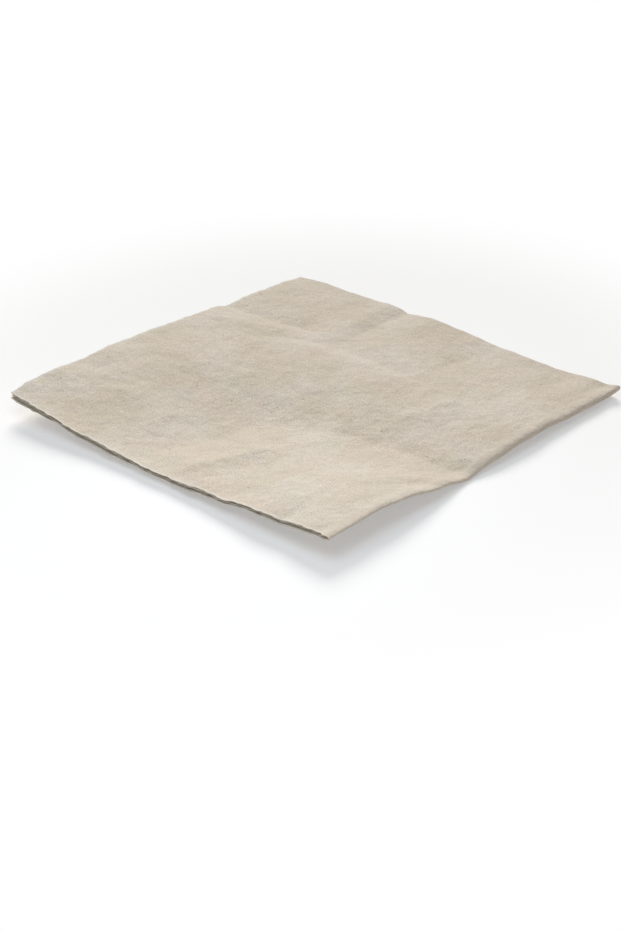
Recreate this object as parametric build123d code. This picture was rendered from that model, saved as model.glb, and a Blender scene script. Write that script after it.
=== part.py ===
"""Paper napkin folded in quarters: one tissue sheet folded in half twice, lying as it comes to rest."""

import os
from dataclasses import dataclass
from math import cos, exp, pi, radians, sin

from build123d import *

# Folded size, in millimetres. The cut edges are at -X and -Y, the folds at +X and +Y.
folded_width = 165.0
folded_depth = 160.0

# The sheet, and the air that lies between its leaves.
sheet_thickness = 0.25
first_fold_gap = 0.25
second_fold_gap = 0.35

# The second fold is pressed flat at its front end, and springs open behind its sag.
sprung_fold_gap = 2.2
spring_starts = -30.0
spring_ends = 24.0
fold_roll = 4.0
fold_reach = 28.0

# How far the cut edges of the folded-over halves stop short of the ones under them.
depth_stagger = 0.6
width_stagger = 0.5

# How far the top leaf stands off at the open corner, where nothing holds the leaves together.
corner_spread = 1.5

# Slopes of the whole sheet, with which it lies on its three lowest points.
lean_along_width = 0.0106
lean_along_depth = -0.0303

# Sections and points that carry the waves, and the flats that each fold has from leaf to leaf.
sections_per_half = 14
points_across = 15
flats_in_first_fold = 4
flats_in_second_fold = 6

left_edge = -folded_width / 2
right_edge = folded_width / 2
front_edge = -folded_depth / 2
back_edge = folded_depth / 2

# The first fold makes a pair of leaves, and the second lays the pair over itself.
pair_height = 2 * sheet_thickness + first_fold_gap
first_fold_radius = pair_height / 2
first_fold_start = back_edge - first_fold_radius
second_fold_start = right_edge - fold_roll


@dataclass
class Swell:
    """A smooth rise of the sheet round a centre, or a sag where its height is below 0."""

    centre_x: float
    centre_y: float
    height: float
    reach_along: float
    reach_across: float
    turn: float = 0.0

    def at(self, x, y):
        """Height that this swell adds at a place on the sheet."""
        towards_x = cos(radians(self.turn))
        towards_y = sin(radians(self.turn))
        along = (x - self.centre_x) * towards_x + (y - self.centre_y) * towards_y
        across = (y - self.centre_y) * towards_x - (x - self.centre_x) * towards_y
        return self.height * exp(-((along / self.reach_along) ** 2) - (across / self.reach_across) ** 2)


# The sags in two edges are joined by a valley, and the corner in front of it stays up.
swells = {
    "sag in the second fold": Swell(right_edge + 2, -7, height=-2.6, reach_along=46, reach_across=28),
    "sag in the front cut edges": Swell(-3, front_edge - 6, height=-2.4, reach_along=50, reach_across=40),
    "valley between the sags": Swell(16, -34, height=-3.4, reach_along=56, reach_across=35, turn=36),
    "swell of the left cut edges": Swell(left_edge - 5, -34, height=4.4, reach_along=56, reach_across=60),
    "swell of the middle": Swell(-31, 40, height=2.6, reach_along=80, reach_across=60),
    "front corner rise": Swell(right_edge + 4, front_edge + 20, height=2.6, reach_along=42, reach_across=32),
}


def wave(x, y):
    """Height of the resting sheet's lowest leaf, the same for all leaves and steady inside the folds."""
    x = min(x, second_fold_start)
    y = min(y, first_fold_start)
    lean = lean_along_width * x + lean_along_depth * y
    return lean + sum(swell.at(x, y) for swell in swells.values())


def spring(y):
    """Air inside the second fold: little where it is pressed, and more behind its sag."""
    share = min(1, max(0, (y - spring_starts) / (spring_ends - spring_starts)))
    opening = share * share * (3 - 2 * share)
    return second_fold_gap + (sprung_fold_gap - second_fold_gap) * opening


def spread(x, y, leaf):
    """Extra height of a leaf, counted from 0 at the bottom to 3 on top, towards the open corner."""
    from_second_fold = (second_fold_start - x) / (second_fold_start - left_edge)
    from_first_fold = max(0, (first_fold_start - y) / (first_fold_start - front_edge))
    return corner_spread * leaf / 3 * (from_second_fold * from_first_fold) ** 2


def lower_half(x):
    """Gives where the pair's points lie in the lower half, at a place along the width."""

    def place(y, depth, leaf):
        return (x, y, wave(x, y) + depth + spread(x, y, leaf))

    return place


def second_fold(turn):
    """Gives where the pair's points lie at a turn round the second fold, in radians."""

    def place(y, depth, leaf):
        middle = pair_height + spring(y) / 2
        axis_height = wave(second_fold_start, y) + middle
        bulge = (fold_roll - depth) * sin(turn)
        return (second_fold_start + bulge, y, axis_height - (middle - depth) * cos(turn))

    return place


def upper_half(x):
    """Gives where the pair's points lie in the upper half, which the second fold turns over."""

    def place(y, depth, leaf):
        closing = exp(-(((second_fold_start - x) / fold_reach) ** 2))
        gap = second_fold_gap + (spring(y) - second_fold_gap) * closing
        return (x, y, wave(x, y) + 2 * pair_height + gap - depth + spread(x, y, 3 - leaf))

    return place


def leaf_face(place, cut_edge, depth, leaf):
    """One face of a leaf in a section: a smooth line from its cut edge to the first fold."""
    steps = [number / (points_across - 1) for number in range(points_across)]
    points = [place(cut_edge + (first_fold_start - cut_edge) * step, depth, leaf) for step in steps]
    return Edge.make_spline(points, parameters=steps)


def fold_face(place, radius):
    """One face of the first fold in a section: flats round from the outer leaf to the inner one."""
    turns = [pi * number / flats_in_first_fold for number in range(flats_in_first_fold + 1)]
    middle = pair_height / 2
    corners = [place(first_fold_start + radius * sin(turn), middle - radius * cos(turn), 0) for turn in turns]
    return [Edge.make_line(start, end) for start, end in zip(corners, corners[1:])]


def pair_section(place):
    """Closed outline of the once-folded pair: outer leaf, first fold and inner leaf."""
    inner_cut_edge = front_edge + depth_stagger
    outside = leaf_face(place, front_edge, 0, 0)
    outer_lining = leaf_face(place, front_edge, sheet_thickness, 0)
    inner_lining = leaf_face(place, inner_cut_edge, sheet_thickness + first_fold_gap, 1)
    inside = leaf_face(place, inner_cut_edge, pair_height, 1)
    return Wire([
        outside,
        *fold_face(place, first_fold_radius),
        inside,
        Edge.make_line(inside @ 0, inner_lining @ 0),
        inner_lining,
        *fold_face(place, first_fold_gap / 2),
        outer_lining,
        Edge.make_line(outer_lining @ 0, outside @ 0),
    ])


def half(leaves, start, end):
    """One half of the folded sheet, smooth through its sections from start to end along the width."""
    step = (end - start) / (sections_per_half - 1)
    places = [start + step * number for number in range(sections_per_half)]
    return Solid.make_loft([pair_section(leaves(x)) for x in places])


lower = half(lower_half, left_edge, second_fold_start)
upper = half(upper_half, left_edge + width_stagger, second_fold_start)
turns = [pi * number / flats_in_second_fold for number in range(flats_in_second_fold + 1)]
fold = Solid.make_loft([pair_section(second_fold(turn)) for turn in turns], ruled=True)
sheet = lower.fuse(fold, upper)

# The lowest point lies on the surface that the napkin rests on, and the origin is under its middle.
box = sheet.bounding_box()
napkin = Pos(-box.center().X, -box.center().Y, -box.min.Z) * sheet

os.makedirs("parts", exist_ok=True)
export_step(napkin, "parts/napkin.step")
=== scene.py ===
"""Looks of a paper napkin: one unbleached tissue sheet, folded in quarters, on a pale floor in soft light."""

from dataclasses import dataclass
from math import cos, pi, radians, sin

import bpy
import numpy as np
from mathutils import Matrix, Vector


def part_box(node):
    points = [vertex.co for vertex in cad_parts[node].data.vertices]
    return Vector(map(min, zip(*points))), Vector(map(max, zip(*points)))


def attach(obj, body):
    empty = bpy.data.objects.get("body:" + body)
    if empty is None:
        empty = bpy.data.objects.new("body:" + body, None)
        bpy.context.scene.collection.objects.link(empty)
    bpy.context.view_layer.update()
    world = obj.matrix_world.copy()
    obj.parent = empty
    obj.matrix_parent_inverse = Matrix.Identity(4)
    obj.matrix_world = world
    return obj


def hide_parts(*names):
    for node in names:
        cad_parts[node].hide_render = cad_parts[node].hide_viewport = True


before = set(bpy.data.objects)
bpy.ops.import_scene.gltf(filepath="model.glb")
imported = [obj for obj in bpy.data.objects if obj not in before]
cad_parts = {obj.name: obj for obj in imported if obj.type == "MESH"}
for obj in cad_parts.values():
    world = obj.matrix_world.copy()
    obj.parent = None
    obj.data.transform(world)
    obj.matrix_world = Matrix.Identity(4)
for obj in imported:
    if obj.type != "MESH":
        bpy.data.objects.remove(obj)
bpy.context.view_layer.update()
scene = bpy.context.scene
scene.view_settings.view_transform = "Standard"

# The camera looks down on the napkin from its front right, over the corner between
# the second fold and the cut edges, through a long lens from about a metre away.
view_azimuth = radians(43.98)
view_elevation = radians(28.67)
view_roll = radians(-1.55)
view_distance = 0.937
view_aim = Vector((0.00102, -0.00344, -0.02398))
focal_pixels = 2455.6
picture_height = 931
sensor_size = 36.0

towards_camera = Vector((
    sin(view_azimuth) * cos(view_elevation),
    -cos(view_azimuth) * cos(view_elevation),
    sin(view_elevation),
))
camera = bpy.data.objects.new("camera", bpy.data.cameras.new("camera"))
camera.data.sensor_width = sensor_size
camera.data.lens = sensor_size * focal_pixels / picture_height
camera.data.clip_start = 0.01
camera_turn = towards_camera.to_track_quat("Z", "Y").to_matrix() @ Matrix.Rotation(view_roll, 3, "Z")
camera.matrix_world = Matrix.Translation(view_aim + towards_camera * view_distance) @ camera_turn.to_4x4()
scene.collection.objects.link(camera)
scene.camera = camera

# The napkin is one sheet of two-ply tissue, folded in half at the back and then in half
# again at the right, so four leaves lie on each other and the lowest point meets the floor.
# All lengths of the sheet are in millimetres, and its mesh is scaled to metres at the end.
metres = 0.001
low_corner, high_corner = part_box("napkin")
left_edge = low_corner.x / metres
right_edge = high_corner.x / metres
front_edge = low_corner.y / metres
back_edge = high_corner.y / metres

sheet_thickness = 0.25
first_fold_gap = 0.25
second_fold_gap = 0.35
sprung_fold_gap = 2.2
spring_starts = -30.0
spring_ends = 24.0
fold_roll = 4.0
fold_reach = 28.0
depth_stagger = 0.6
width_stagger = 0.5
corner_spread = 0.7
lean_along_width = 0.0106
lean_along_depth = -0.0303

# Leaves are counted from 0 at the bottom to this one on top, and each half is a pair of them.
top_leaf = 3
pair_height = 2 * sheet_thickness + first_fold_gap
first_fold_radius = pair_height / 2
first_fold_start = back_edge - first_fold_radius
second_fold_start = right_edge - fold_roll


@dataclass
class Swell:
    """A smooth rise of the sheet round a centre, or a sag where its height is below 0."""

    centre_x: float
    centre_y: float
    height: float
    reach_along: float
    reach_across: float
    turn: float = 0.0

    def at(self, x, y):
        """Height that this swell adds at a place on the sheet."""
        towards_x = cos(radians(self.turn))
        towards_y = sin(radians(self.turn))
        along = (x - self.centre_x) * towards_x + (y - self.centre_y) * towards_y
        across = (y - self.centre_y) * towards_x - (x - self.centre_x) * towards_y
        return self.height * np.exp(-((along / self.reach_along) ** 2) - (across / self.reach_across) ** 2)


swells = {
    "sag in the second fold": Swell(right_edge + 2, -7, height=-2.6, reach_along=46, reach_across=28),
    "sag in the front cut edges": Swell(-3, front_edge - 6, height=-2.4, reach_along=50, reach_across=40),
    "valley between the sags": Swell(16, -34, height=-3.4, reach_along=56, reach_across=35, turn=36),
    "swell of the left cut edges": Swell(left_edge - 5, -34, height=4.4, reach_along=56, reach_across=60),
    "swell of the middle": Swell(-31, 40, height=2.6, reach_along=80, reach_across=60),
    "front corner rise": Swell(right_edge + 4, front_edge + 20, height=2.6, reach_along=42, reach_across=32),
}


@dataclass
class Crease:
    """A soft bend pressed along a path: a ridge, or a valley where its height is below 0."""

    path: list
    height: float
    reach_left: float
    reach_right: float
    softness: float = 1.5
    fade: float = 12.0

    def at(self, x, y):
        """Height that the crease adds: all of it on the path, fading on each side by its own reach."""
        points = np.array(self.path, float)
        runs = np.diff(points, axis=0)
        lengths = np.hypot(runs[:, 0], runs[:, 1])
        starts = np.concatenate([[0], np.cumsum(lengths)])
        nearest = np.full(np.shape(x), np.inf)
        side = np.ones(np.shape(x))
        along = np.zeros(np.shape(x))
        for point, run, length, start in zip(points, runs, lengths, starts):
            from_x = x - point[0]
            from_y = y - point[1]
            share = np.clip((from_x * run[0] + from_y * run[1]) / length**2, 0, 1)
            distance = np.hypot(from_x - share * run[0], from_y - share * run[1])
            closer = distance < nearest
            nearest = np.where(closer, distance, nearest)
            side = np.where(closer, np.sign(run[0] * from_y - run[1] * from_x), side)
            along = np.where(closer, start + share * length, along)
        reach = np.where(side > 0, self.reach_left, self.reach_right)
        profile = np.exp(-(np.hypot(nearest, self.softness) - self.softness) / reach)
        from_end = np.clip(np.minimum(along, starts[-1] - along) / self.fade, 0, 1)
        return self.height * profile * from_end * from_end * (3 - 2 * from_end)


# Where the folded sheet is bent, as paths seen from above. Some run on past its edges.
right_valley = [(92, -5), (70, -8), (50, -9), (32, -12), (18, -18)]
front_valley = [
    (26, -14), (16, -18), (8, -21), (0, -26), (-5, -34), (-7, -43), (-11, -54), (-15, -66), (-17, -86),
]
soft_valley = [(-4, -12), (-12, -24), (-15, -36), (-19, -48), (-27, -57), (-38, -64), (-47, -72), (-53, -86)]
rear_left_line = [(-100, 35.5), (-74, 36), (-60, 36.8), (-52, 37.8), (-42, 40), (-30, 41)]
rear_left_lip = [(-82, 18), (-70, 22), (-60, 26), (-52, 29), (-42, 33)]
middle_line = [
    (-56, 12), (-48, 19), (-44, 24.5), (-40, 27.5), (-34, 29.8), (-26, 31.5),
    (-16, 32.5), (-4, 34), (12, 33.5), (36, 33),
]
middle_lip = [(-50, 9), (-43, 17), (-38, 21.5), (-32, 25), (-24, 27.5), (-12, 28.5), (4, 29.5), (26, 29.5)]
rear_mark = [(-22.5, 125), (-22.5, 95), (-22.6, 65), (-21.6, 50), (-19, 30)]
rear_shoulder = [(-33, 95), (-31, 65), (-27, 44)]
second_rear_mark = [(26, 95), (24.5, 68), (22.5, 58), (20, 42)]
corner_mark = [(67, 84), (60, 62), (51, 42)]
right_ridge = [(48, 36), (41, 14), (33, -3)]
right_fleck = [(63, -10), (68, -3), (71, 3)]
fan_ridge = [
    (88, -12), (82, -16), (78, -20), (74, -23.5), (70, -28), (67, -33.5), (64, -39), (60, -46), (57, -52),
]
fan_valley = [(88, -18), (82, -22), (78, -26), (74, -31), (71.5, -36), (68.5, -42), (65, -49), (62, -56)]
front_ridge = [(20, -38), (17, -46), (13.5, -52), (10, -59), (6.5, -66), (2, -76)]
wedge_side = [(18, -43), (20, -54), (20, -64), (18, -70)]
first_ripple = [(31, -92), (33, -78), (37, -65)]
second_ripple = [(58, -92), (60, -79), (64, -69)]
front_left_slant = [(-26, -40), (-34, -56), (-42, -80)]
creases = [
    Crease(right_valley, -0.8, reach_left=7, reach_right=4.5, softness=1),
    Crease(front_valley, -1.7, reach_left=13, reach_right=22, softness=1.5),
    Crease(soft_valley, -1.0, reach_left=12, reach_right=22, softness=4),
    Crease(rear_left_line, -1.8, reach_left=9, reach_right=3.2, softness=0.6),
    Crease(rear_left_lip, 0.7, reach_left=5, reach_right=6, softness=1.5, fade=8),
    Crease(middle_line, -0.9, reach_left=13, reach_right=3.5, softness=0.5, fade=24),
    Crease(middle_lip, 0.5, reach_left=4, reach_right=10, softness=1),
    Crease(rear_mark, -1.4, reach_left=10, reach_right=3.5, softness=0.5, fade=38),
    Crease(rear_shoulder, 0.6, reach_left=5, reach_right=4, softness=1.5),
    Crease(second_rear_mark, -0.8, reach_left=9, reach_right=5),
    Crease(corner_mark, -0.6, reach_left=5, reach_right=8, softness=0.7),
    Crease(right_ridge, 0.9, reach_left=8, reach_right=6),
    Crease(right_fleck, 0.3, reach_left=1.6, reach_right=1.6, softness=0.4, fade=5),
    Crease(fan_ridge, 0.65, reach_left=3.5, reach_right=4.5, softness=0.4),
    Crease(fan_valley, -0.45, reach_left=4.5, reach_right=2.5, softness=0.4),
    Crease(front_ridge, 2.0, reach_left=8, reach_right=13, softness=0.8, fade=9),
    Crease(wedge_side, -0.4, reach_left=6, reach_right=4, softness=0.5, fade=8),
    Crease(first_ripple, -0.9, reach_left=6, reach_right=3, softness=0.8, fade=8),
    Crease(second_ripple, -1.3, reach_left=6, reach_right=3, softness=0.8, fade=8),
    Crease(front_left_slant, 0.6, reach_left=10, reach_right=8, softness=3, fade=14),
]
# Rises and dips that are smaller than the swells.
dents = {
    "rise beside the rear mark": Swell(-7, 84, height=1.5, reach_along=15, reach_across=22),
    "rise behind the front valley": Swell(18, -34, height=1.8, reach_along=15, reach_across=17),
    "dip before the closed corner": Swell(53, 84, height=-0.9, reach_along=13, reach_across=24),
    "side of the closed corner": Swell(86, 52, height=-1.4, reach_along=26, reach_across=20),
    "rise of the second fold": Swell(86, -36, height=0.9, reach_along=14, reach_across=16),
    "dip of the second fold": Swell(86, -7, height=-1.1, reach_along=14, reach_across=10),
    "front right": Swell(50, -50, height=1.4, reach_along=32, reach_across=24, turn=40),
    "middle": Swell(10, 14, height=1.0, reach_along=32, reach_across=22),
    "rise behind the left dent": Swell(-79, -30, height=0.6, reach_along=8, reach_across=7),
    "dent in the left edge": Swell(-79, -45, height=-0.6, reach_along=8, reach_across=7),
    "bump of the front left": Swell(-50, -46, height=0.35, reach_along=9, reach_across=6, turn=10),
    "hollow of the left": Swell(-36, -30, height=-1.2, reach_along=18, reach_across=18),
    "low rear corner": Swell(left_edge, back_edge, height=-0.9, reach_along=8, reach_across=8),
    "rise of the front edge": Swell(-14, front_edge, height=0.8, reach_along=14, reach_across=14),
    "low closed corner": Swell(74, 78, height=-0.8, reach_along=24, reach_across=20),
    "sprung tip of the closed corner": Swell(84, 81, height=2.1, reach_along=3.2, reach_across=4),
    "hollow before the sprung tip": Swell(77, 76, height=-0.6, reach_along=3.5, reach_across=5),
    "lifted tip of the open corner": Swell(left_edge, front_edge, height=0.2, reach_along=4, reach_across=4),
    "rise of the left edge": Swell(left_edge, -58, height=1.0, reach_along=16, reach_across=11),
    "shoulder of the open corner": Swell(left_edge, -71, height=0.8, reach_along=8, reach_across=5),
}


def wave(x, y):
    """Height of the resting sheet's lowest leaf, the same for all leaves and steady inside the folds."""
    x = np.minimum(x, second_fold_start)
    y = np.minimum(y, first_fold_start)
    lean = lean_along_width * x + lean_along_depth * y
    return lean + sum(swell.at(x, y) for swell in swells.values())


bottom_leaf_share = 0.7


def relief(x, y, leaf):
    """What creases and dents add: all of it on the top leaf, and less on each leaf under it."""
    share = bottom_leaf_share + (1 - bottom_leaf_share) * leaf / top_leaf
    bends = sum(crease.at(x, y) for crease in creases)
    return share * (bends + sum(dent.at(x, y) for dent in dents.values()))


def spring(y):
    """Air inside the second fold: little where it is pressed, and more behind its sag."""
    share = np.clip((y - spring_starts) / (spring_ends - spring_starts), 0, 1)
    return second_fold_gap + (sprung_fold_gap - second_fold_gap) * share * share * (3 - 2 * share)


def spread(x, y, leaf):
    """Extra height of a leaf towards the open corner, where nothing holds the leaves together."""
    from_second_fold = (second_fold_start - x) / (second_fold_start - left_edge)
    from_first_fold = np.maximum(0, (first_fold_start - y) / (first_fold_start - front_edge))
    return corner_spread * leaf / top_leaf * (from_second_fold * from_first_fold) ** 2


def wander(place, start, smallest=0.0):
    """How far an edge strays from a straight line, in millimetres, in waves over a smallest length."""
    waves = [(47, 0.45), (19, 0.3), (8.3, 0.25), (4.7, 0.22), (3.1, 0.15)]
    kept = [(length, size) for length, size in waves if length > smallest]
    return sum(size * np.sin(2 * pi * place / length + start * length) for length, size in kept)


def stations(start, end, cell):
    """Places from start to end, about one cell apart."""
    return np.linspace(start, end, round(abs(end - start) / cell) + 1)


top_cell = 1.25
hidden_cell = 2.4
turns_in_first_fold = 8
turns_in_second_fold = 14

# Lines across the pair: up its outer leaf, round the first fold and back along its inner leaf.
fold_turns = np.linspace(0, pi, turns_in_first_fold + 1)[1:-1]
fold_middle = first_fold_radius - sheet_thickness / 2
outer_y = stations(front_edge, first_fold_start, top_cell)
inner_y = stations(first_fold_start, front_edge + depth_stagger, hidden_cell)
pair_y = np.concatenate([outer_y, first_fold_start + fold_middle * np.sin(fold_turns), inner_y])
pair_depth = np.concatenate([
    np.full(len(outer_y), sheet_thickness / 2),
    pair_height / 2 - fold_middle * np.cos(fold_turns),
    np.full(len(inner_y), pair_height - sheet_thickness / 2),
])
pair_leaf = np.concatenate([np.zeros(len(outer_y)), fold_turns / pi, np.ones(len(inner_y))])

# Columns along the width: the lower half, the second fold and the upper half, which lies turned over.
columns = [("lower", x) for x in stations(left_edge, second_fold_start, hidden_cell)]
columns += [("fold", turn) for turn in np.linspace(0, pi, turns_in_second_fold + 1)[1:-1]]
columns += [("upper", x) for x in stations(second_fold_start, left_edge + width_stagger, top_cell)]

# How far in from the edges their straying reaches, how far they stray, and each fold's shortest wave.
edge_reach = 5.0
cut_stray = 0.6
fold_stray = 0.5
smooth_fold_wave = 15.0
rear_fold_wave = 6.0

# The closed corner's tip is pushed out, and the open corner's tip is pulled in.
tip_reach = 5.0
tip_push = 1.0
open_tip_reach = 5.0
open_tip_pull = 0.8

# Where the waves of each edge start, so that no two edges stray alike.
left_start = 1
front_start = 3
right_start = 7
back_start = 9

points = []
for part, place in columns:
    y = pair_y
    if part == "lower":
        x = np.full(len(y), place)
        z = wave(x, y) + relief(x, y, pair_leaf) + pair_depth + spread(x, y, pair_leaf)
    elif part == "fold":
        rim = np.full(len(y), second_fold_start)
        middle = pair_height + spring(y) / 2
        x = second_fold_start + (fold_roll - pair_depth) * sin(place)
        lower_relief = relief(x, y, pair_leaf)
        upper_relief = relief(x, y, top_leaf - pair_leaf)
        upper_share = (1 - cos(place)) / 2
        z = wave(rim, y) + middle - (middle - pair_depth) * cos(place)
        z += lower_relief + (upper_relief - lower_relief) * upper_share
    else:
        x = np.full(len(y), place)
        closing = np.exp(-(((second_fold_start - x) / fold_reach) ** 2))
        gap = second_fold_gap + (spring(y) - second_fold_gap) * closing
        z = wave(x, y) + relief(x, y, top_leaf - pair_leaf) + 2 * pair_height + gap - pair_depth
        z += spread(x, y, top_leaf - pair_leaf)
    # The cut edges stray most, each leaf in its own way, and the folds a little.
    leaf = {"lower": pair_leaf, "fold": pair_leaf + 1, "upper": top_leaf - pair_leaf}[part]
    near_left = np.exp(-(x - left_edge) / edge_reach)
    near_front = np.exp(-(y - front_edge) / edge_reach)
    near_right = np.exp(-(right_edge - x) / edge_reach)
    near_back = np.exp(-(back_edge - y) / edge_reach)
    tip = np.exp(-(((x - right_edge) / tip_reach) ** 2) - ((y - back_edge) / tip_reach) ** 2)
    open_tip = np.exp(-(((x - left_edge) / open_tip_reach) ** 2) - ((y - front_edge) / open_tip_reach) ** 2)
    cut = cut_stray * (1 - open_tip)
    push = tip_push * tip + open_tip_pull * open_tip
    x = x + cut * near_left * wander(y, left_start + np.round(leaf))
    x = x - fold_stray * near_right * wander(y, right_start, smallest=smooth_fold_wave) + push
    y = y + cut * near_front * wander(x, front_start + np.round(leaf)) + push
    y = y - fold_stray * near_back * wander(x, back_start, smallest=rear_fold_wave)
    points.append(np.column_stack([x, y, z]))
points = np.array(points)

rows = len(pair_y)
faces = [
    (a, a + rows, a + rows + 1, a + 1)
    for column in range(len(columns) - 1)
    for a in range(column * rows, column * rows + rows - 1)
]
napkin_mesh = bpy.data.meshes.new("napkin_sheet")
napkin_mesh.from_pydata((points.reshape(-1, 3) * metres).tolist(), [], faces)

# Its flat coordinates: how far each point lies along the unfolded sheet, in shares of its size.
along_columns = np.linalg.norm(np.diff(points[:, 0], axis=0), axis=1)
along_rows = np.linalg.norm(np.diff(points[-1], axis=0), axis=1)
flat_u = np.concatenate([[0], np.cumsum(along_columns)]) / along_columns.sum()
flat_v = np.concatenate([[0], np.cumsum(along_rows)]) / along_rows.sum()
corner_vertices = np.zeros(len(napkin_mesh.loops), int)
napkin_mesh.loops.foreach_get("vertex_index", corner_vertices)
flat = np.column_stack([flat_u[corner_vertices // rows], flat_v[corner_vertices % rows]])
napkin_mesh.uv_layers.new(name="flat_sheet").data.foreach_set("uv", flat.ravel())

napkin = bpy.data.objects.new("napkin_sheet", napkin_mesh)
scene.collection.objects.link(napkin)
thickness = napkin.modifiers.new("thickness", "SOLIDIFY")
thickness.thickness = sheet_thickness * metres
thickness.offset = 0
thickness.use_even_offset = True
finished = bpy.data.meshes.new_from_object(napkin.evaluated_get(bpy.context.evaluated_depsgraph_get()))
napkin.modifiers.clear()
napkin.data = finished
for face in napkin.data.polygons:
    face.use_smooth = True
sharp_from = radians(50)
napkin.data.set_sharp_from_angle(angle=sharp_from)

# Its lowest point is set on the floor again, because the creases may have moved it.
lowest = min(vertex.co.z for vertex in napkin.data.vertices)
napkin.data.transform(Matrix.Translation((0, 0, -lowest)))
points[:, :, 2] -= lowest / metres

# Unbleached two-ply tissue: clouds of pulp, crossing fibres, a few dark shives and fine crepe.
# Its pattern is drawn in millimetres on the flat sheet, so that it runs on round the folds.
pulp_color = (0.602, 0.510, 0.382, 1)
pale_pulp_color = (0.654, 0.570, 0.460, 1)
warm_pulp_color = (0.652, 0.520, 0.406, 1)
# The pale fibre colour is also painted along the cut edges, partly as a highlight.
pale_fibre_and_highlight_color = (0.74, 0.69, 0.60, 1)
dark_fibre_color = (0.42, 0.34, 0.25, 1)
# Painted light on the side of the second fold, paler than the pulp.
painted_fold_light_color = (0.735, 0.625, 0.50, 1)
shive_color = (0.16, 0.10, 0.06, 1)

tissue = bpy.data.materials.new("kraft_tissue")
tissue.use_nodes = True
nodes = tissue.node_tree.nodes
links = tissue.node_tree.links
shader = nodes["Principled BSDF"]
shader.inputs["Specular IOR Level"].default_value = 0.4
shader.inputs["Sheen Weight"].default_value = 0.2
shader.inputs["Sheen Roughness"].default_value = 0.5
shader.inputs["Sheen Tint"].default_value = (0.94, 0.97, 1, 1)

flat_place = nodes.new("ShaderNodeUVMap")
flat_place.uv_map = "flat_sheet"
flat_width = 330.0
flat_depth = 320.0


def sheet_place(along=1.0, across=1.0, shift=0.0):
    """A place on the flat sheet in millimetres, drawn out along or across where the factors differ."""
    mapping = nodes.new("ShaderNodeMapping")
    mapping.inputs["Scale"].default_value = (flat_width * along, flat_depth * across, 1)
    mapping.inputs["Location"].default_value = (shift, shift, 0)
    links.new(flat_place.outputs["UV"], mapping.inputs["Vector"])
    return mapping.outputs["Vector"]


def cloud(place, size, detail=2.0, roughness=0.5):
    """Soft random clouds of about a size in the place's unit, from 0 to 1 and mostly near the middle."""
    noise = nodes.new("ShaderNodeTexNoise")
    noise.noise_dimensions = "2D"
    noise.inputs["Scale"].default_value = 1 / size
    noise.inputs["Detail"].default_value = detail
    noise.inputs["Roughness"].default_value = roughness
    links.new(place, noise.inputs["Vector"])
    return noise.outputs["Fac"]


def spread_out(value, low, high, to_low=0.0, to_high=1.0):
    """The value from low to high, drawn out smoothly to new ends."""
    drawn = nodes.new("ShaderNodeMapRange")
    drawn.interpolation_type = "SMOOTHSTEP"
    drawn.inputs["From Min"].default_value = low
    drawn.inputs["From Max"].default_value = high
    drawn.inputs["To Min"].default_value = to_low
    drawn.inputs["To Max"].default_value = to_high
    links.new(value, drawn.inputs["Value"])
    return drawn.outputs["Result"]


def reckon(operation, first, second):
    """The result of one operation on two values, each a socket or a number."""
    step = nodes.new("ShaderNodeMath")
    step.operation = operation
    for value, socket in zip((first, second), step.inputs):
        if isinstance(value, (int, float)):
            socket.default_value = value
        else:
            links.new(value, socket)
    return step.outputs["Value"]


def blend(share, under, over, kind="MIX"):
    """Colour over another by a share, each a socket or a plain colour."""
    mix = nodes.new("ShaderNodeMix")
    mix.data_type = "RGBA"
    mix.blend_type = kind
    if isinstance(share, (int, float)):
        mix.inputs["Factor"].default_value = share
    else:
        links.new(share, mix.inputs["Factor"])
    color_under, color_over, color_result = mix.inputs[6], mix.inputs[7], mix.outputs[2]
    for value, socket in ((under, color_under), (over, color_over)):
        if isinstance(value, tuple):
            socket.default_value = value
        else:
            links.new(value, socket)
    return color_result


def fibres(size, shift, width):
    """Thin wandering lines where clouds cross their middle value, as crossing fibres lie."""
    middle_value = 0.5
    clouds = cloud(sheet_place(shift=shift), size, detail=1.0)
    off_middle = reckon("ABSOLUTE", reckon("SUBTRACT", clouds, middle_value), 0)
    return spread_out(off_middle, 0.0, width, to_low=1.0, to_high=0.0)


def shives(size, radius, chosen, shift):
    """Short dark splinters of wood, in a chosen share of cells of a size in millimetres."""
    shortening = 1.6
    bend_size = 0.7
    solid_share = 0.5
    cells = nodes.new("ShaderNodeTexVoronoi")
    cells.voronoi_dimensions = "2D"
    cells.inputs["Scale"].default_value = 1 / size
    bent = nodes.new("ShaderNodeVectorMath")
    bent.operation = "ADD"
    links.new(sheet_place(across=shortening, shift=shift), bent.inputs[0])
    links.new(cloud(sheet_place(shift=shift), bend_size), bent.inputs[1])
    links.new(bent.outputs["Vector"], cells.inputs["Vector"])
    solid, rim = radius * solid_share / size, radius / size
    near = spread_out(cells.outputs["Distance"], solid, rim, to_low=1.0, to_high=0.0)
    picked = nodes.new("ShaderNodeSeparateColor")
    links.new(cells.outputs["Color"], picked.inputs["Color"])
    return reckon("MULTIPLY", near, reckon("LESS_THAN", picked.outputs["Red"], chosen))


broad = cloud(sheet_place(), size=26, detail=4, roughness=0.6)
warmth = cloud(sheet_place(shift=57), size=17, detail=4, roughness=0.6)
pulp = cloud(sheet_place(shift=23), size=3.2, detail=3, roughness=0.7)
grain = cloud(sheet_place(shift=71), size=0.55, detail=1.0)
crepe = cloud(sheet_place(across=0.3, shift=11), size=0.6, detail=1.0)

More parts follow.
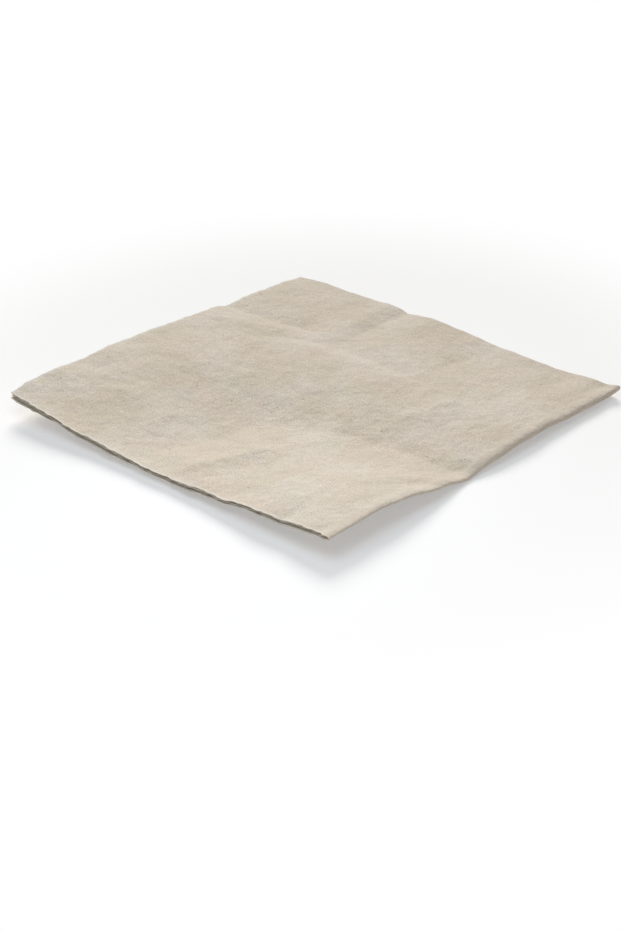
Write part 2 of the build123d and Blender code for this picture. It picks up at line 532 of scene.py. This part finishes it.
color = blend(spread_out(broad, 0.3, 0.7), pulp_color, pale_pulp_color)
color = blend(spread_out(warmth, 0.35, 0.75, to_high=0.5), color, warm_pulp_color)
pulp_tone = spread_out(pulp, 0.2, 0.8, to_low=0.92, to_high=1.08)
grain_tone = spread_out(grain, 0.25, 0.75, to_low=-0.14, to_high=0.14)
color = blend(1.0, color, reckon("ADD", pulp_tone, grain_tone), kind="MULTIPLY")
# Along the cut, where the flat sheet ends, it is paler: partly loose fibres, and partly a painted highlight
# where the cut edges catch the light.
half_way = 0.5
fray_and_highlight_starts = 0.3
fray_and_highlight_ends = 1.6
fray_and_highlight_share = 0.6
flat_parts = nodes.new("ShaderNodeSeparateXYZ")
links.new(flat_place.outputs["UV"], flat_parts.inputs["Vector"])
from_cut = []
for spot, length in ((flat_parts.outputs["X"], flat_width), (flat_parts.outputs["Y"], flat_depth)):
    off_middle = reckon("ABSOLUTE", reckon("SUBTRACT", spot, half_way), 0)
    from_cut.append(reckon("MULTIPLY", reckon("SUBTRACT", half_way, off_middle), length))
nearest_cut = reckon("MINIMUM", from_cut[0], from_cut[1])
fray_and_painted_highlight = spread_out(nearest_cut, fray_and_highlight_starts, fray_and_highlight_ends, to_low=fray_and_highlight_share, to_high=0.0)
color = blend(fray_and_painted_highlight, color, pale_fibre_and_highlight_color)
# The second fold, in the middle of the sheet's width, is painted paler and warmer: painted light on the side
# of the fold, where light comes through the thin tissue.
fold_light_starts = 1.5
fold_light_ends = 7.0
fold_light_share = 0.7
off_middle = reckon("ABSOLUTE", reckon("SUBTRACT", flat_parts.outputs["X"], half_way), 0)
from_fold = reckon("MULTIPLY", off_middle, flat_width)
painted_fold_light = spread_out(from_fold, fold_light_starts, fold_light_ends, to_low=fold_light_share, to_high=0.0)
color = blend(painted_fold_light, color, painted_fold_light_color)
# Fibres and shives lie over that, each kind as strong as it shows.
for marks, strength, mark_color in (
    (fibres(size=2.6, shift=5, width=0.02), 0.22, pale_fibre_and_highlight_color),
    (fibres(size=3.4, shift=91, width=0.014), 0.16, dark_fibre_color),
    (shives(size=1.1, radius=0.24, chosen=0.5, shift=19), 0.16, dark_fibre_color),
    (shives(size=2.6, radius=0.42, chosen=0.07, shift=37), 0.42, dark_fibre_color),
    (shives(size=4.2, radius=0.50, chosen=0.024, shift=83), 0.7, shive_color),
):
    color = blend(reckon("MULTIPLY", marks, strength), color, mark_color)
links.new(color, shader.inputs["Base Color"])
links.new(spread_out(pulp, 0.2, 0.8, to_low=0.78, to_high=0.95), shader.inputs["Roughness"])

# Its surface rises in soft cockles of several sizes, with the pulp's grain and the crepe on them.
height = cloud(sheet_place(shift=43), size=9, detail=3, roughness=0.55)
for bumps, share in ((pulp, 0.14), (grain, 0.06), (crepe, 0.03)):
    height = reckon("ADD", height, reckon("MULTIPLY", bumps, share))
relief_bump = nodes.new("ShaderNodeBump")
relief_bump.inputs["Strength"].default_value = 1.0
relief_bump.inputs["Distance"].default_value = metres
links.new(height, relief_bump.inputs["Height"])
links.new(relief_bump.outputs["Normal"], shader.inputs["Normal"])
napkin.data.materials.append(tissue)

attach(napkin, "root")
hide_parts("napkin")

# The blade leaves loose pulp fibres along all four cut edges of the sheet. Geometry Nodes plant
# them on the line of the cut, pointing outwards and astray, each a thin tapering splinter.
fibre_spacing = 0.45
fibre_length = 0.9
fibre_width = 0.07
fibre_stray = 0.9
fibre_tone_size = 2.0
fibre_color = (0.62, 0.54, 0.43, 1)
fibre_dark_color = (0.45, 0.37, 0.28, 1)

cut_line = np.concatenate([points[:, 0], points[-1, 1:], points[-2::-1, -1], points[0, -2:0:-1]])
inner_line = np.concatenate([points[:, 1], points[-2, 1:], points[-2::-1, -2], points[1, -2:0:-1]])
outward = cut_line - inner_line
outward /= np.linalg.norm(outward, axis=1)[:, None]
cut_mesh = bpy.data.meshes.new("cut_line")
cut_points = len(cut_line)
cut_mesh.from_pydata((cut_line * metres).tolist(), [(a, (a + 1) % cut_points) for a in range(cut_points)], [])
cut_mesh.attributes.new("outward", "FLOAT_VECTOR", "POINT").data.foreach_set("vector", outward.ravel())
edge_fibres = bpy.data.objects.new("edge_fibres", cut_mesh)
scene.collection.objects.link(edge_fibres)

loose_fibre = bpy.data.materials.new("loose_fibre")
loose_fibre.use_nodes = True
nodes = loose_fibre.node_tree.nodes
links = loose_fibre.node_tree.links
nodes["Principled BSDF"].inputs["Roughness"].default_value = 0.85
object_place = nodes.new("ShaderNodeTexCoord")
fibre_tone = cloud(object_place.outputs["Object"], size=fibre_tone_size * metres, detail=1.0)
fibre_mix = blend(spread_out(fibre_tone, 0.35, 0.65), fibre_dark_color, fibre_color)
links.new(fibre_mix, nodes["Principled BSDF"].inputs["Base Color"])

planting = bpy.data.node_groups.new("plant_fibres", "GeometryNodeTree")
planting.interface.new_socket("Geometry", in_out="INPUT", socket_type="NodeSocketGeometry")
for name in ("Spacing", "Length", "Width", "Stray"):
    planting.interface.new_socket(name, in_out="INPUT", socket_type="NodeSocketFloat")
planting.interface.new_socket("Material", in_out="INPUT", socket_type="NodeSocketMaterial")
planting.interface.new_socket("Geometry", in_out="OUTPUT", socket_type="NodeSocketGeometry")
sizes = planting.nodes.new("NodeGroupInput")
result = planting.nodes.new("NodeGroupOutput")
join = planting.links.new


def random_vector(low, high, seed):
    """Three random numbers for each fibre, from a fixed seed: a direction, or a scale for each side."""
    chance = planting.nodes.new("FunctionNodeRandomValue")
    chance.data_type = "FLOAT_VECTOR"
    chance.inputs["Min"].default_value = low
    chance.inputs["Max"].default_value = high
    chance.inputs["Seed"].default_value = seed
    return chance.outputs["Value"]


line = planting.nodes.new("GeometryNodeMeshToCurve")
join(sizes.outputs["Geometry"], line.inputs["Mesh"])
steps = planting.nodes.new("GeometryNodeResampleCurve")
steps.mode = "LENGTH"
join(line.outputs["Curve"], steps.inputs["Curve"])
join(sizes.outputs["Spacing"], steps.inputs["Length"])
splinter = planting.nodes.new("GeometryNodeMeshCone")
splinter.inputs["Vertices"].default_value = 3
join(sizes.outputs["Width"], splinter.inputs["Radius Bottom"])
join(sizes.outputs["Length"], splinter.inputs["Depth"])
direction = planting.nodes.new("GeometryNodeInputNamedAttribute")
direction.data_type = "FLOAT_VECTOR"
direction.inputs["Name"].default_value = "outward"
astray = planting.nodes.new("ShaderNodeVectorMath")
astray.operation = "SCALE"
join(random_vector(low=(-1, -1, -0.6), high=(1, 1, 0.6), seed=3), astray.inputs[0])
join(sizes.outputs["Stray"], astray.inputs["Scale"])
leaning = planting.nodes.new("ShaderNodeVectorMath")
leaning.operation = "ADD"
join(direction.outputs["Attribute"], leaning.inputs[0])
join(astray.outputs["Vector"], leaning.inputs[1])
turn = planting.nodes.new("FunctionNodeAlignRotationToVector")
turn.axis = "Z"
join(leaning.outputs["Vector"], turn.inputs["Vector"])
planted = planting.nodes.new("GeometryNodeInstanceOnPoints")
join(steps.outputs["Curve"], planted.inputs["Points"])
join(splinter.outputs["Mesh"], planted.inputs["Instance"])
join(turn.outputs["Rotation"], planted.inputs["Rotation"])
join(random_vector(low=(0.6, 0.6, 0.3), high=(1, 1, 1), seed=8), planted.inputs["Scale"])
real = planting.nodes.new("GeometryNodeRealizeInstances")
join(planted.outputs["Instances"], real.inputs["Geometry"])
finish = planting.nodes.new("GeometryNodeSetMaterial")
join(real.outputs["Geometry"], finish.inputs["Geometry"])
join(sizes.outputs["Material"], finish.inputs["Material"])
join(finish.outputs["Geometry"], result.inputs["Geometry"])

grown = edge_fibres.modifiers.new("fibres", "NODES")
grown.node_group = planting
chosen = {
    "Spacing": fibre_spacing * metres, "Length": fibre_length * metres,
    "Width": fibre_width / 2 * metres, "Stray": fibre_stray, "Material": loose_fibre,
}
for socket in planting.interface.items_tree:
    if socket.in_out == "INPUT" and socket.name in chosen:
        grown[socket.identifier] = chosen[socket.name]
fibre_mesh = bpy.data.meshes.new_from_object(edge_fibres.evaluated_get(bpy.context.evaluated_depsgraph_get()))
edge_fibres.modifiers.clear()
edge_fibres.data = fibre_mesh

# Where a fibre would reach under the floor, all are lifted by that much.
lowest_fibre = min(vertex.co.z for vertex in fibre_mesh.vertices)
fibre_mesh.transform(Matrix.Translation((0, 0, max(0, -lowest_fibre))))

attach(edge_fibres, "root")

# The floor is a plain pale sheet, larger than the view from any side. It takes the napkin's
# shadow, and away from it the camera and mirror-like surfaces see it as plain white.
floor_size = 6.0
floor_color = (0.97, 0.95, 0.92, 1)
least_white = 0.35
shadow_reach = 0.10
white_from = 0.20

bpy.ops.mesh.primitive_plane_add(size=floor_size)
floor = bpy.context.object
floor.name = "floor"
floor_paint = bpy.data.materials.new("floor_paint")
floor_paint.use_nodes = True
nodes = floor_paint.node_tree.nodes
links = floor_paint.node_tree.links
matt = nodes["Principled BSDF"]
matt.inputs["Base Color"].default_value = floor_color
matt.inputs["Roughness"].default_value = 0.8
white = nodes.new("ShaderNodeEmission")
white.inputs["Color"].default_value = (1, 1, 1, 1)
white.inputs["Strength"].default_value = 1.0
floor_place = nodes.new("ShaderNodeTexCoord")
from_middle = nodes.new("ShaderNodeVectorMath")
from_middle.operation = "LENGTH"
links.new(floor_place.outputs["Object"], from_middle.inputs[0])
far = nodes.new("ShaderNodeMapRange")
far.interpolation_type = "SMOOTHSTEP"
far.inputs["From Min"].default_value = shadow_reach
far.inputs["From Max"].default_value = white_from
far.inputs["To Min"].default_value = least_white
links.new(from_middle.outputs["Value"], far.inputs["Value"])
rays = nodes.new("ShaderNodeLightPath")
seen = rays.outputs["Is Camera Ray"]
for kind in ("Is Glossy Ray", "Is Transmission Ray"):
    either = nodes.new("ShaderNodeMath")
    either.operation = "MAXIMUM"
    links.new(seen, either.inputs[0])
    links.new(rays.outputs[kind], either.inputs[1])
    seen = either.outputs["Value"]
white_share = nodes.new("ShaderNodeMath")
white_share.operation = "MULTIPLY"
links.new(far.outputs["Result"], white_share.inputs[0])
links.new(seen, white_share.inputs[1])
paint_and_white = nodes.new("ShaderNodeMixShader")
links.new(white_share.outputs["Value"], paint_and_white.inputs["Fac"])
links.new(matt.outputs["BSDF"], paint_and_white.inputs[1])
links.new(white.outputs["Emission"], paint_and_white.inputs[2])
links.new(paint_and_white.outputs["Shader"], nodes["Material Output"].inputs["Surface"])
floor.data.materials.append(floor_paint)

# Soft window light comes from behind the napkin, a lamp overhead is nearer to its front
# corner, and a weak fill from the front and the pale room lighten the shade.
window_direction = Vector((-0.55, 0.56, 0.46)).normalized()
window_strength = 3.1
window_color = (1.0, 0.992, 0.980)
window_softness = radians(25)
lamp_place = Vector((0.04, -0.11, 0.24))
lamp_size = 0.22
lamp_power = 0.315
lamp_color = (0.80, 0.89, 1.0)
fill_direction = Vector((0.64, -0.74, 0.16)).normalized()
fill_strength = 0.7
fill_softness = radians(50)
room_strength = 0.12

window = bpy.data.objects.new("window_light", bpy.data.lights.new("window_light", "SUN"))
window.data.energy = window_strength
window.data.color = window_color
window.data.angle = window_softness
window.matrix_world = window_direction.to_track_quat("Z", "Y").to_matrix().to_4x4()
scene.collection.objects.link(window)

fill = bpy.data.objects.new("front_fill", bpy.data.lights.new("front_fill", "SUN"))
fill.data.energy = fill_strength
fill.data.angle = fill_softness
fill.matrix_world = fill_direction.to_track_quat("Z", "Y").to_matrix().to_4x4()
scene.collection.objects.link(fill)

lamp = bpy.data.objects.new("overhead_lamp", bpy.data.lights.new("overhead_lamp", "AREA"))
lamp.data.energy = lamp_power
lamp.data.size = lamp_size
lamp.data.color = lamp_color
lamp.matrix_world = Matrix.Translation(lamp_place) @ lamp_place.to_track_quat("Z", "Y").to_matrix().to_4x4()
scene.collection.objects.link(lamp)

room = bpy.data.worlds.new("room")
scene.world = room
room.use_nodes = True
room.node_tree.nodes["Background"].inputs["Color"].default_value = (1, 1, 1, 1)
room.node_tree.nodes["Background"].inputs["Strength"].default_value = room_strength
